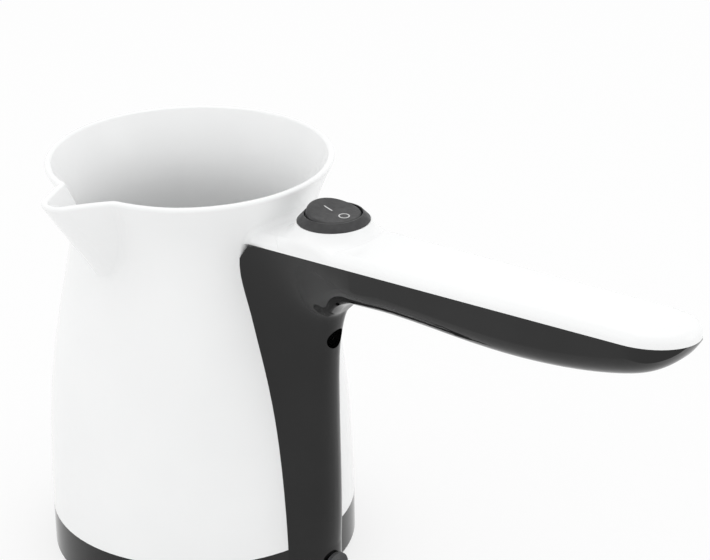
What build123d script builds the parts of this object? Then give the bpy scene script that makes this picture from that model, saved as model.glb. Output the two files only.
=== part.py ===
from build123d import *
import os
from math import acos, asin, atan2, cos, degrees, hypot, radians, sin, sqrt, tan

os.makedirs("parts", exist_ok=True)

# ---------------------------------------------------------------- driving dimensions, mm
# How far a cutter runs past a face, how near an edge lies to its face, and a hair's breadth
overrun = 1.0
edge_reach = 0.05
hair = 0.001

# Jug: outer side, from the seam with the base ring up to the rim
seam_height = 16.8
seam_radius = 51.4
rim_height = 140.0
rim_radius = 47.4
hip_height = seam_height + 23.2
hip_radius = 50.8
shoulder_height = rim_height - 74.0
shoulder_radius = 48.8
belly_height = rim_height - 52.7
belly_radius = 45.3
breast_height = rim_height - 33.7
breast_radius = 41.3
neck_height = rim_height - 23.5
neck_radius = 40.0
throat_height = rim_height - 17.0
throat_radius = 40.7
flare_height = rim_height - 9.0
flare_radius = 43.2
flare_lean = 0.5
rim_overrun = 4.0
jug_wall = 2.4
rim_rounding = 0.9
rim_edge_drop = 0.2

# Spout: a rounded wedge in plan, drawn down and back along its keel
spout_tip_reach = 61.85
spout_nose_radius = 6.5
spout_half_angle = 28.6
spout_back = 20.0
spout_keel_slope = 0.704
spout_run = 62.0
spout_outer_blend = 4.0
spout_inner_blend = 3.0
lip_start = 34.0
lip_shoulder = 48.0
lip_shoulder_rise = 1.0
lip_tip_rise = 1.25

# Grip: white cap above the seam, black channel below it
grip_rise = 3.2
grip_seam_height = rim_height - 18.37
grip_end = 197.9
grip_nose = 16.7
grip_root_half = 14.4
grip_half = 12.4
grip_start = 30.0
cap_height = 4.4
cap_crown_radius = 95.0
cap_crown_half = 20.0
cap_edge_radius = 3.4
cap_skin = 2.2

# Raised seat of the switch
switch_x = 62.5
switch_lift = 12.07
switch_height = grip_seam_height + switch_lift
switch_tilt = 1.0
seat_radius = 11.9
seat_bend = 6.0
seat_drop = 5.0
seat_root = 8.0
seat_edge_radius = 3.0
grip_root_blend = 2.0
switch_hole_radius = 10.1
switch_hole_depth = 9.0

# Black channel: spine down the jug, armpit bend and underside of the grip
shell_wall = 2.2
shell_plan_half = 40.0
shell_plan_lead = 9.2
shell_plan_flare = 10.0
channel_reach = 30.0
channel_overrun = 14.0
channel_side_rise = 0.5
armpit_radius = 18.0
armpit_lean = 15.0
armpit_x = seam_radius + 30.2
armpit_side_rise = 2.0
armpit_height = grip_seam_height - 22.63
armpit_centre_height = armpit_height - armpit_radius * sin(radians(armpit_lean))
armpit_low_reach = 33.0
armpit_middle_reach = 30.0
armpit_high_reach = 24.0
spine_low_share = 0.4
spine_middle_share = 0.69
spine_high_share = 0.9
spine_foot_depth = 8.4
spine_low_depth = 9.2
spine_middle_depth = 9.5
spine_high_depth = 10.9
spine_top_depth = 12.75
spine_foot_half = 12.3
spine_low_half = 13.2
spine_middle_half = 14.2
spine_high_half = 15.1
spine_top_half = 15.4
spine_foot_nose = 8.8
spine_low_nose = 8.0
spine_middle_nose = 7.0
spine_high_nose = 5.7
spine_top_nose = 5.6
spine_flat = 0.4
grip_near_share = 0.155
grip_near_depth = 13.9
grip_middle_share = 0.41
grip_middle_depth = 15.7
grip_far_share = 0.65
grip_far_depth = 15.1
grip_heel_share = 0.84
grip_heel_depth = 11.7
grip_toe_share = 0.945
grip_toe_depth = 6.9
grip_tip_share = 1.0
grip_tip_rise = 2.6
grip_corner = 8.0
grip_end_corner = 10.5
spine_steps = 12
grip_steps = 14

# Screw of the spine
spine_screw_height = armpit_height - 5.8
recess_radius = 3.5
recess_tube_radius = 4.9
recess_seat_x = seam_radius + 2.6
recess_seat = 2.0
spine_boss_radius = 3.6
spine_boss_gap = 0.2
spine_boss_end = recess_seat_x - recess_seat - spine_boss_gap
pilot_clearance = 0.05
shank_clearance = 0.2

# Ledge, skirt and pillars inside the foot of the jug
ledge_bottom = 24.0
ledge_top = 27.0
ledge_inner_radius = 38.0
skirt_inner_radius = seam_radius - jug_wall
pillar_ring_radius = 44.0
clamp_boss_radius = 2.6
clamp_boss_bottom = 22.0
base_pillar_radius = 3.0
pilot_overrun = 0.3
first_clamp = 30
first_pillar = 90

# Base ring, cover and pad
ring_bottom = 1.8
ring_foot_rounding = 1.5
spigot_top = 20.4
spigot_clearance = 0.15
spigot_outer_radius = skirt_inner_radius - spigot_clearance
spigot_wall = 1.65
spigot_root = 2.0
lug_radius = 3.4
lug_gap = 0.2
lug_web_length = 5.0
lug_web_width = 3.0
cover_clearance = 0.4
cover_radius = skirt_inner_radius - cover_clearance
cover_top = 4.6
head_clearance = 0.3
head_sink = 0.1
pad_radius = 38.0
pad_chamfer = 0.5

# Fasteners
base_screw_radius = 1.4
base_screw_head_radius = 2.7
base_screw_head = 1.5
base_screw_top = 23.6
clamp_screw_radius = 1.2
clamp_screw_head_radius = 2.2
clamp_screw_head = 1.4
clamp_screw_top = 25.6
spine_screw_radius = 1.4
spine_screw_head_radius = 2.8
spine_screw_head = 1.9
spine_screw_stop = 1.2
screw_socket_depth = 0.9
screw_socket_length = 1.2
screw_socket_width = 0.3

# Heating parts
plate_top = 25.6
plate_thickness = 0.8
plate_radius = 37.4
plate_edge_rounding = 0.6
plate_flange_radius = 40.6
plate_flange_bottom = 22.0
seal_inner_radius = 37.9
spreader_radius = 34.0
spreader_bottom = 22.8
element_ring_radius = 27.0
element_tube_radius = 3.3
element_gap = 70.0
element_pin_radius = 1.2
pin_run = 4.5
pin_bend = 2.5
pin_bottom = 11.5
clamp_ring_inner = seal_inner_radius
clamp_ring_outer = plate_flange_radius
clamp_ring_bottom = 20.8
clamp_ear_radius = 3.2
thermostat_radius = 8.0
thermostat_base_radius = 6.8
thermostat_shoulder = 18.8
thermostat_bottom = 12.8
tab_width = 5.0
tab_thickness = 0.8
tab_bottom = 7.0
tab_offset = 3.6
tab_hole_radius = 0.8
tab_hole_rise = 2.0
bracket_thickness = 0.8
bracket_width = 7.0
bracket_half_span = 19.5
bracket_foot = 3.0
bracket_ring = 1.5
bracket_clearance = 0.1
fuse_radius = 2.0
fuse_length = 11.0
fuse_lead_radius = 0.4
fuse_x = 15.0
shield_bottom = 14.6
shield_thickness = 0.5
shield_radius = 40.2
shield_hole_radius = 9.6
shield_pin_hole_radius = 2.6

# Terminal block and inlet
block_x = 35.0
block_length = 14.0
block_width = 22.0
block_height = 7.6
block_pitch = 7.0
wire_bore_radius = 1.6
block_screw_radius = 1.9
block_screw_clearance = 0.1
block_screw_height = 1.6
block_screw_well = 2.2
block_slot_length = 2.6
block_slot_width = 0.6
block_slot_depth = 0.7
inlet_height = 9.2
inlet_radius = 4.0
gland_bore_radius = 2.7
gland_flange_radius = 5.2
gland_flange = 1.2
gland_flange_gap = 0.2
gland_inner_reach = 2.5

# Switch insert; heights are taken from the seat's top or from the rocker's pivot
bezel_radius = 11.5
bezel_height = 2.4
bezel_lip = 0.35
bezel_rim = 0.25
barrel_radius = 10.0
barrel_bore_radius = 9.15
barrel_floor = 1.2
barrel_room = 0.4
lever_drop = 11.8
lever_floor_gap = 2.6
barrel_depth = lever_drop + lever_floor_gap + barrel_floor
snap_reach = 10.8
snap_root = 0.4
snap_width = 6.0
snap_top = 6.9
snap_ramp = 1.2
snap_bottom = 11.0
pivot_rise = 1.0
trunnion_radius = 0.9
trunnion_reach = 9.65
trunnion_pocket = 9.75
running_gap = 0.05
rocker_radius = 8.85
rocker_skin = 1.5
rocker_skirt = 5.8
rocker_lean = 9.0
rocker_slab = 9.5
rocker_high = 5.45
rocker_high_middle = 4.05
rocker_middle_x = 5.0
rocker_centre = 2.8
rocker_low_middle = 2.45
rocker_low = 2.3
rocker_rounding = 1.0
tube_radius = 2.5
tube_bore_radius = 1.75
tube_reach = 6.4
tube_top = 1.3
plunger_radius = 1.68
plunger_tip_gap = 1.8
plunger_top_drop = 5.5
plunger_rounding = 1.26
plunger_reach = pivot_rise + lever_drop - plunger_tip_gap
plunger_length = plunger_reach - plunger_top_drop
spring_wire_radius = 0.25
spring_coil_radius = 1.35
spring_end_gap = 0.05
spring_turns = 4
lever_pivot_height = switch_height - lever_drop
lever_lean = 4.5
lever_arm = 6.2
lever_width = 4.0
lever_thickness = 0.6
knuckle_radius = 1.2
lever_pin_radius = 0.6
lever_pin_bite = 0.1
contact_radius = 1.1
contact_height = 0.6
contact_reach = 5.0
ear_thickness = 0.8
ear_gap = 0.35
ear_width = 2.4
ear_rise = 1.1
ear_base = 0.6
blade_width = 4.8
blade_thickness = 0.8
blade_clearance = 0.1
blade_seat_gap = 0.15
blade_hole_radius = 0.75
blade_hole_rise = 1.8
centre_blade_length = 6.95
load_blade_length = 4.95
load_tab_length = 3.0
load_tab_thickness = 0.4
load_button_height = 0.7
floor_top = switch_height - barrel_depth + barrel_floor + blade_seat_gap
centre_blade_bottom = floor_top - centre_blade_length
load_blade_bottom = floor_top - load_blade_length
load_blade_x = switch_x + contact_reach

# Internal wires
wire_radius = 1.1


# ---------------------------------------------------------------- shared outlines
def jug_side(inset):
    """Side curve of the jug, moved inwards by the inset; x is the radius and y the height."""
    return Spline(
        (seam_radius - inset, seam_height),
        (hip_radius - inset, hip_height),
        (shoulder_radius - inset, shoulder_height),
        (belly_radius - inset, belly_height),
        (breast_radius - inset, breast_height),
        (neck_radius - inset, neck_height),
        (throat_radius - inset, throat_height),
        (flare_radius - inset, flare_height),
        (rim_radius - inset, rim_height),
        (rim_radius - inset + flare_lean * rim_overrun, rim_height + rim_overrun),
        tangents=((0, 1), (flare_lean, 1)),
    )


outer_side = jug_side(0)


def jug_radius(height):
    """Outer radius of the jug at a height."""
    if height <= seam_height:
        return seam_radius
    return outer_side.find_intersection_points(Axis((0, height, 0), (1, 0, 0)))[0].X


def seam_z(x):
    """Height of the seam between cap and channel above a point of the grip."""
    return grip_seam_height + x * tan(radians(grip_rise))


def grip_half_width(x):
    """Half the width of the grip, which narrows evenly towards its end."""
    share = (x - grip_start) / (grip_end - grip_nose - grip_start)
    return grip_root_half + (grip_half - grip_root_half) * share


def tilted(origin, angle):
    """Plane through the origin whose x axis rises by the angle towards the end of the grip."""
    lift = radians(angle)
    return Plane(origin=origin, x_dir=(cos(lift), 0, sin(lift)), z_dir=(-sin(lift), 0, cos(lift)))


grip_plane = tilted((0, 0, grip_seam_height), grip_rise)
switch_plane = tilted((switch_x, 0, switch_height), switch_tilt)
switch_upright = Plane(origin=switch_plane.origin, x_dir=switch_plane.x_dir, z_dir=(0, -1, 0))


def grip_outline(inset, start):
    """Plan of the grip on its own plane, with a half-elliptic end."""
    straight = grip_end - grip_nose
    root = grip_half_width(start) - inset
    side = grip_half - inset
    with BuildSketch(grip_plane) as plan:
        with BuildLine():
            Line((start, -root), (straight, -side))
            EllipticalCenterArc((straight, 0), grip_nose - inset, side, start_angle=-90, arc_size=180)
            Polyline((straight, side), (start, root), (start, -root))
        make_face()
    return plan.sketch


def channel_section(place, reach, depth, half, flat, nose):
    """Rounded trough: a nose of radius nose either side of a flat, and sides through (half, depth)."""
    distance = hypot(half - flat, depth - nose)
    touch = atan2(depth - nose, half - flat) - acos(nose / distance)
    touch_x = flat + nose * cos(touch)
    touch_y = nose + nose * sin(touch)
    far_x = touch_x + (half - touch_x) / (depth - touch_y) * (reach - touch_y)
    sweep_angle = 90 + degrees(touch)
    with BuildSketch(place) as section:
        with BuildLine():
            Line((far_x, reach), (touch_x, touch_y))
            CenterArc((flat, nose), nose, degrees(touch), -sweep_angle)
            Line((flat, 0), (-flat, 0))
            CenterArc((-flat, nose), nose, -90, -sweep_angle)
            Line((-touch_x, touch_y), (-far_x, reach))
            Line((-far_x, reach), (far_x, reach))
        make_face()
    return section.sketch


def spine_section(height, nose_x, half, nose, inset):
    """Level section of the spine; half is its half width where it meets the jug."""
    radius = jug_radius(height)
    meeting_x = sqrt(radius**2 - half**2) - overrun
    place = Plane(origin=(nose_x - inset, 0, height), x_dir=(0, 1, 0), z_dir=(0, 0, 1))
    back = nose_x - inset
    return channel_section(place, back - channel_reach, back - meeting_x, half - inset, spine_flat, nose - inset)


def foot_section(inset):
    """Level section of the spine where it stands on the base ring."""
    return spine_section(seam_height, seam_radius + spine_foot_depth, spine_foot_half, spine_foot_nose, inset)


def armpit_section(angle, reach, inset):
    """Section across the bend between spine and grip, square to the armpit arc."""
    share = (angle - armpit_lean) / (90 - armpit_lean)
    half = spine_top_half + (grip_half_width(armpit_x) - spine_top_half) * share
    nose = spine_top_nose + (grip_corner - spine_top_nose) * share
    flat = spine_flat + (grip_half_width(armpit_x) - grip_corner - spine_flat) * sin(radians(90 * share))
    out = Vector(-cos(radians(angle)), 0, sin(radians(angle)))
    origin = Vector(armpit_x, 0, armpit_centre_height) + out * (armpit_radius + inset)
    place = Plane(origin=origin, x_dir=(0, 1, 0), z_dir=Vector(0, 1, 0).cross(out))
    return channel_section(place, reach, reach - armpit_side_rise, half - inset, flat, nose - inset)


def underside_section(x, bottom, nose, inset):
    """Upright section across the grip's channel, which runs on above the seam."""
    half = grip_half_width(x) + edge_reach - inset
    place = Plane(origin=(x, 0, bottom + inset), x_dir=(0, 1, 0), z_dir=(1, 0, 0))
    reach = seam_z(x) + channel_overrun - bottom - inset
    return channel_section(place, reach, reach - channel_side_rise, half, half + inset - nose, nose - inset)


def reading(curve, level):
    """Value of a curve drawn as (value, level) points at one level."""
    return curve.find_intersection_points(Axis((0, level, 0), (1, 0, 0)))[0].X


def spine_level(share):
    """Height of a point of the spine, as a share of its run from base ring to armpit."""
    return seam_height + (armpit_height - seam_height) * share


def spine_line(foot, low, middle, high, top):
    """Curve of a spine measure over height, drawn as (measure, height) points."""
    return Spline(
        (foot, seam_height),
        (low, spine_level(spine_low_share)),
        (middle, spine_level(spine_middle_share)),
        (high, spine_level(spine_high_share)),
        (top, armpit_height),
    )


def grip_x(share):
    """Place along the grip, as a share of its run from armpit to end."""
    return armpit_x + (grip_end - armpit_x) * share


def under_seam(depth, share):
    """Point of the underside curve: its height and its place along the grip."""
    return (seam_z(grip_x(share)) - depth, grip_x(share))


spine_depth_line = spine_line(
    spine_foot_depth, spine_low_depth, spine_middle_depth, spine_high_depth, spine_top_depth
)
spine_half_line = spine_line(spine_foot_half, spine_low_half, spine_middle_half, spine_high_half, spine_top_half)
spine_nose_line = spine_line(spine_foot_nose, spine_low_nose, spine_middle_nose, spine_high_nose, spine_top_nose)
underside_line = Spline(
    (armpit_centre_height + armpit_radius, armpit_x),
    under_seam(grip_near_depth, grip_near_share),
    under_seam(grip_middle_depth, grip_middle_share),
    under_seam(grip_far_depth, grip_far_share),
    under_seam(grip_heel_depth, grip_heel_share),
    under_seam(grip_toe_depth, grip_toe_share),
    under_seam(-grip_tip_rise, grip_tip_share),
)


def channel_sections(inset):
    """All sections of the black channel from the base ring to the end of the grip."""
    sections = []
    for step in range(spine_steps + 1):
        height = spine_level(step / spine_steps)
        level = min(max(height, seam_height + hair), armpit_height - hair)
        nose_x = seam_radius + reading(spine_depth_line, level)
        half = reading(spine_half_line, level)
        nose = reading(spine_nose_line, level)
        sections.append(spine_section(height, nose_x, half, nose, inset))
    turn = (90 - armpit_lean) / 4
    sections.append(armpit_section(armpit_lean + turn, armpit_low_reach, inset))
    sections.append(armpit_section(armpit_lean + 2 * turn, armpit_middle_reach, inset))
    sections.append(armpit_section(armpit_lean + 3 * turn, armpit_high_reach, inset))
    for step in range(grip_steps + 1):
        x = grip_x(grip_tip_share * step / grip_steps)
        bottom = reading(underside_line, min(max(x, armpit_x + hair), grip_x(grip_tip_share) - hair))
        closing = max(0, (x - grip_end + grip_nose) / grip_nose)
        sections.append(underside_section(x, bottom, grip_corner + (grip_end_corner - grip_corner) * closing, inset))
    return sections


def around(radius, first):
    """Three places on a circle, one hundred and twenty degrees apart."""
    return PolarLocations(radius, 3, start_angle=first)


def round_jug(inset):
    """Solid jug without spout or grip, its side moved inwards by the inset."""
    with BuildPart() as jug:
        with BuildSketch(Plane.YZ):
            with BuildLine():
                side = jug_side(inset)
                Polyline(side @ 1, (0, rim_height + rim_overrun), (0, seam_height), side @ 0)
            make_face()
        revolve(axis=Axis.Z)
    return jug.part


def spout_wedge(inset):
    """Solid spout: a wedge with a rounded nose, drawn from above the lip along the keel."""
    half_angle = radians(spout_half_angle)
    nose = spout_nose_radius - inset
    centre = spout_nose_radius - spout_tip_reach - spout_keel_slope * rim_overrun
    touch = Vector(nose * cos(half_angle), centre - nose * sin(half_angle))
    back_half = touch.X + (-spout_back - touch.Y) * tan(half_angle)
    with BuildPart() as wedge:
        with BuildSketch(Plane.XY.offset(rim_height + rim_overrun)):
            with BuildLine():
                Line((-back_half, -spout_back), (-touch.X, touch.Y))
                CenterArc((0, centre), nose, 180 + spout_half_angle, 180 - 2 * spout_half_angle)
                Polyline((touch.X, touch.Y), (back_half, -spout_back), (-back_half, -spout_back))
            make_face()
        extrude(amount=spout_run, dir=(0, spout_keel_slope, -1))
    return wedge.part


def spouted_jug(inset, blend):
    """Jug with its spout, the corner between the two rounded by the blend."""
    with BuildPart() as jug:
        add(round_jug(inset))
        add(spout_wedge(inset))
        meetings = []
        for edge in jug.edges().filter_by(GeomType.BSPLINE):
            if (edge @ 0.5).Y < -spout_back and edge.bounding_box().min.Z < rim_height:
                meetings.append(edge)
        fillet(meetings, blend)
    return jug.part


# Space inside jug and spout, from the ledge up.
with BuildPart() as jug_space:
    add(spouted_jug(jug_wall, spout_inner_blend))
    split(bisect_by=Plane.XY.offset(ledge_top), keep=Keep.TOP)

# Flat cap of the grip, with crowned top and rounded upper edge.
with BuildPart() as grip_cap:
    add(grip_outline(0, grip_start))
    extrude(amount=cap_height + overrun)
    with BuildSketch(Plane(origin=grip_plane.origin, x_dir=(0, 1, 0), z_dir=grip_plane.x_dir)):
        with BuildLine():
            crown_drop = cap_crown_radius - sqrt(cap_crown_radius**2 - cap_crown_half**2)
            side_top = cap_height - crown_drop
            ThreePointArc((-cap_crown_half, side_top), (0, cap_height), (cap_crown_half, side_top))
            Polyline(
                (cap_crown_half, side_top),
                (cap_crown_half, -overrun),
                (-cap_crown_half, -overrun),
                (-cap_crown_half, side_top),
            )
        make_face()
    extrude(amount=grip_end + overrun, mode=Mode.INTERSECT)
    cap_edges = []
    for edge in grip_cap.edges():
        place = grip_plane.to_local_coords(edge @ 0.5)
        if place.Z > cap_height / 2 and place.X > grip_start + overrun and edge.length > cap_height:
            cap_edges.append(edge)
    fillet(cap_edges, cap_edge_radius)

# Flared seat that carries the switch, trimmed to the width of the grip and rounded like the cap.
with BuildPart() as switch_seat:
    with BuildSketch(switch_upright):
        with BuildLine():
            bend_start = degrees(asin((seat_bend - seat_drop) / seat_bend))
            bend_x = seat_radius + seat_bend * cos(radians(bend_start))
            Line((0, 0), (seat_radius, 0))
            CenterArc((bend_x, seat_bend - seat_drop), seat_bend, 180 + bend_start, 90 - bend_start)
            Polyline((bend_x, -seat_drop), (bend_x, -seat_root), (0, -seat_root), (0, 0))
        make_face()
    revolve(axis=Axis(switch_plane.origin, switch_plane.z_dir))
    add(grip_outline(0, spout_back))
    extrude(amount=switch_lift, mode=Mode.INTERSECT)
    seat_edges = []
    for edge in switch_seat.edges():
        place = grip_plane.to_local_coords(edge @ 0.5)
        if abs(abs(place.Y) - grip_half_width(place.X)) < edge_reach and edge.length > seat_radius:
            if place.Z > cap_height / 2:
                seat_edges.append(edge)
    fillet(seat_edges, seat_edge_radius)

# Hollow under the cap, kept clear of the jug's own wall.
with BuildPart() as cap_pocket:
    add(grip_outline(cap_skin, grip_start))
    extrude(amount=cap_height - cap_skin)
    add(round_jug(0), mode=Mode.SUBTRACT)

# ---------------------------------------------------------------- pot_body
# One white moulding: jug, spout, cap of the grip, switch seat and the fixing
# ledge, pillars and bosses inside its foot.
with BuildPart() as pot_body:
    add(spouted_jug(0, spout_outer_blend))
    add(grip_cap.part)
    add(switch_seat.part)
    root_edges = []
    for edge in pot_body.edges():
        middle = edge @ 0.5
        if middle.X > grip_start and grip_seam_height < middle.Z < rim_height:
            on_jug = abs(hypot(middle.X, middle.Y) - jug_radius(middle.Z)) < edge_reach
            if on_jug and grip_plane.to_local_coords(middle).Z > edge_reach:
                root_edges.append(edge)
    fillet(root_edges, grip_root_blend)
    add(jug_space.part, mode=Mode.SUBTRACT)
    add(cap_pocket.part, mode=Mode.SUBTRACT)
    with BuildSketch(Plane.YZ):
        with BuildLine():
            lip = Spline(
                (-spout_tip_reach - rim_overrun, rim_height + lip_tip_rise),
                (-lip_shoulder, rim_height + lip_shoulder_rise),
                (-lip_start, rim_height),
                tangents=((1, 0), (1, 0)),
            )
            Polyline(
                lip @ 1,
                (2 * rim_radius, rim_height),
                (2 * rim_radius, rim_height + 2 * rim_overrun),
                (-2 * rim_radius, rim_height + 2 * rim_overrun),
                (-2 * rim_radius, rim_height + lip_tip_rise),
                lip @ 0,
            )
        make_face()
    extrude(amount=2 * rim_radius, both=True, mode=Mode.SUBTRACT)
    rim_edges = []
    for edge in pot_body.edges():
        if edge.bounding_box().min.Z > rim_height - rim_edge_drop:
            rim_edges.append(edge)
    fillet(rim_edges, rim_rounding)
    with BuildSketch(switch_plane):
        Circle(switch_hole_radius)
    extrude(amount=-switch_hole_depth, mode=Mode.SUBTRACT)
    with BuildSketch(Plane.XY.offset(seam_height - overrun)):
        Circle(skirt_inner_radius)
    extrude(amount=ledge_bottom - seam_height + overrun, mode=Mode.SUBTRACT)
    with BuildSketch(Plane.XY.offset(ledge_bottom - overrun)):
        Circle(ledge_inner_radius)
    extrude(amount=ledge_top - ledge_bottom + 2 * overrun, mode=Mode.SUBTRACT)
    with BuildSketch(Plane.XY.offset(clamp_boss_bottom)):
        with around(pillar_ring_radius, first_clamp):
            Circle(clamp_boss_radius)
    extrude(amount=ledge_bottom - clamp_boss_bottom)
    with BuildSketch(Plane.XY.offset(seam_height)):
        with around(pillar_ring_radius, first_pillar):
            Circle(base_pillar_radius)
    extrude(amount=ledge_bottom - seam_height)
    with BuildSketch(Plane.XY.offset(clamp_boss_bottom)):
        with around(pillar_ring_radius, first_clamp):
            Circle(clamp_screw_radius + pilot_clearance)
    extrude(amount=clamp_screw_top + pilot_overrun - clamp_boss_bottom, mode=Mode.SUBTRACT)
    with BuildSketch(Plane.XY.offset(seam_height)):
        with around(pillar_ring_radius, first_pillar):
            Circle(base_screw_radius + pilot_clearance)
    extrude(amount=base_screw_top + pilot_overrun - seam_height, mode=Mode.SUBTRACT)
    boss_root = jug_radius(spine_screw_height) - overrun
    with BuildSketch(Plane(origin=(boss_root, 0, spine_screw_height), z_dir=(1, 0, 0))):
        Circle(spine_boss_radius)
    extrude(amount=spine_boss_end - boss_root)
    with BuildSketch(Plane(origin=(spine_boss_end, 0, spine_screw_height), z_dir=(-1, 0, 0))):
        Circle(spine_screw_radius + pilot_clearance)
    extrude(amount=spine_boss_end - boss_root, mode=Mode.SUBTRACT)
pot_body.part.label = "pot_body"
export_step(pot_body.part, "parts/pot_body.step")

# ---------------------------------------------------------------- handle_shell
# Black moulding, hollow inside: spine down the jug, bend under the grip and
# underside of the grip, open towards the jug and the cap and relieved round
# the switch barrel.
grip_straight = grip_end - grip_nose
shell_plan_start = armpit_x - shell_plan_lead
with BuildPart() as channel_block:
    add(channel_sections(0))
    loft()
    add(round_jug(0), mode=Mode.SUBTRACT)
    with BuildSketch(grip_plane):
        Rectangle(3 * grip_end, 3 * shell_plan_half)
    extrude(amount=grip_end, mode=Mode.SUBTRACT)
    with BuildSketch(grip_plane):
        with BuildLine():
            start_half = grip_half_width(shell_plan_start)
            Line((shell_plan_start, -start_half), (grip_straight, -grip_half))
            EllipticalCenterArc((grip_straight, 0), grip_nose, grip_half, start_angle=-90, arc_size=180)
            Polyline(
                (grip_straight, grip_half),
                (shell_plan_start, start_half),
                (shell_plan_start - shell_plan_flare, shell_plan_half),
                (0, shell_plan_half),
                (0, -shell_plan_half),
                (shell_plan_start - shell_plan_flare, -shell_plan_half),
                (shell_plan_start, -start_half),
            )
        make_face()
    extrude(amount=-seam_height - grip_seam_height, mode=Mode.INTERSECT)

with BuildPart() as channel_space:
    add(channel_sections(shell_wall))
    loft()
    with BuildSketch(grip_plane):
        with BuildLine():
            inner_half = grip_half - shell_wall
            EllipticalCenterArc(
                (grip_straight, 0), grip_nose - shell_wall, inner_half, start_angle=-90, arc_size=180
            )
            Polyline(
                (grip_straight, inner_half),
                (grip_straight, shell_plan_half),
                (0, shell_plan_half),
                (0, -shell_plan_half),
                (grip_straight, -shell_plan_half),
                (grip_straight, -inner_half),
            )
        make_face()
    extrude(amount=grip_end, both=True, mode=Mode.INTERSECT)

with BuildPart() as recess_tube:
    with BuildSketch(Plane(origin=(recess_seat_x - recess_seat, 0, spine_screw_height), z_dir=(1, 0, 0))):
        Circle(recess_tube_radius)
    extrude(amount=armpit_x - recess_seat_x)
    add(channel_block.part, mode=Mode.INTERSECT)

with BuildPart() as handle_shell:
    add(channel_block.part)
    add(channel_space.part, mode=Mode.SUBTRACT)
    add(recess_tube.part)
    with BuildSketch(Plane(origin=(recess_seat_x, 0, spine_screw_height), z_dir=(1, 0, 0))):
        Circle(recess_radius)
    extrude(amount=armpit_x - recess_seat_x, mode=Mode.SUBTRACT)
    with BuildSketch(Plane(origin=(recess_seat_x - recess_seat - overrun, 0, spine_screw_height), z_dir=(1, 0, 0))):
        Circle(spine_screw_radius + shank_clearance)
    extrude(amount=recess_seat + 2 * overrun, mode=Mode.SUBTRACT)
    with BuildSketch(switch_plane):
        Circle(barrel_radius + barrel_room)
    extrude(amount=-barrel_depth - barrel_room, mode=Mode.SUBTRACT)
    with BuildSketch(switch_plane):
        Circle(snap_reach + barrel_room)
    extrude(amount=-snap_bottom - barrel_room, mode=Mode.SUBTRACT)
handle_shell.part.label = "handle_shell"
export_step(handle_shell.part, "parts/handle_shell.step")

# ---------------------------------------------------------------- base_ring
# Ring under the jug with a spigot that centres in the skirt, three lugs for the
# long screws, the foot of the spine and the round inlet in its nose.
with BuildPart() as ring_block:
    with BuildSketch(Plane.XY.offset(ring_bottom)):
        Circle(seam_radius)
    extrude(amount=seam_height - ring_bottom)
    add(foot_section(0))
    extrude(amount=seam_height - ring_bottom, dir=(0, 0, -1))
    fillet(ring_block.faces().sort_by(Axis.Z)[0].outer_wire().edges(), ring_foot_rounding)

with BuildPart() as base_ring:
    add(ring_block.part)
    with BuildSketch(Plane.XY.offset(seam_height)):
        Circle(spigot_outer_radius)
    extrude(amount=spigot_top - seam_height)
    with BuildSketch(Plane.XY.offset(ring_bottom - overrun)):
        Circle(skirt_inner_radius)
    extrude(amount=seam_height - spigot_root - ring_bottom + overrun, mode=Mode.SUBTRACT)
    with BuildSketch(Plane.XY.offset(ring_bottom)):
        Circle(spigot_outer_radius - spigot_wall)
    extrude(amount=spigot_top, mode=Mode.SUBTRACT)
    add(foot_section(shell_wall))
    extrude(amount=seam_height - cover_top, dir=(0, 0, -1), mode=Mode.SUBTRACT)
    with BuildSketch(Plane.XY.offset(cover_top)):
        with around(pillar_ring_radius, first_pillar):
            Circle(lug_radius)
        with around((pillar_ring_radius + seam_radius) / 2, first_pillar):
            Rectangle(lug_web_length, lug_web_width)
    extrude(amount=seam_height - cover_top - lug_gap)
    with BuildSketch(Plane.XY.offset(cover_top)):
        with around(pillar_ring_radius, first_pillar):
            Circle(base_screw_radius + shank_clearance)
    extrude(amount=seam_height, mode=Mode.SUBTRACT)
    with BuildSketch(Plane(origin=(pillar_ring_radius, 0, inlet_height), z_dir=(1, 0, 0))):
        Circle(inlet_radius)
    extrude(amount=armpit_x - pillar_ring_radius, mode=Mode.SUBTRACT)
base_ring.part.label = "base_ring"
export_step(base_ring.part, "parts/base_ring.step")

# ---------------------------------------------------------------- base_cover
# Disc that closes the ring from below, with a sunk place for each screw head.
base_head_seat = ring_bottom + base_screw_head + head_sink
with BuildPart() as base_cover:
    with BuildSketch(Plane.XY.offset(ring_bottom)):
        Circle(cover_radius)
    extrude(amount=cover_top - ring_bottom)
    with BuildSketch(Plane.XY.offset(ring_bottom)):
        with around(pillar_ring_radius, first_pillar):
            Circle(base_screw_head_radius + head_clearance)
    extrude(amount=base_head_seat - ring_bottom, mode=Mode.SUBTRACT)
    with BuildSketch(Plane.XY.offset(ring_bottom)):
        with around(pillar_ring_radius, first_pillar):
            Circle(base_screw_radius + shank_clearance)
    extrude(amount=cover_top, mode=Mode.SUBTRACT)
base_cover.part.label = "base_cover"
export_step(base_cover.part, "parts/base_cover.step")

# ---------------------------------------------------------------- base_pad
# Flat non-slip pad the maker stands on.
with BuildPart() as base_pad:
    Cylinder(pad_radius, ring_bottom, align=(Align.CENTER, Align.CENTER, Align.MIN))
    chamfer(base_pad.edges().group_by(Axis.Z)[0], pad_chamfer)
base_pad.part.label = "base_pad"
export_step(base_pad.part, "parts/base_pad.step")


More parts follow.
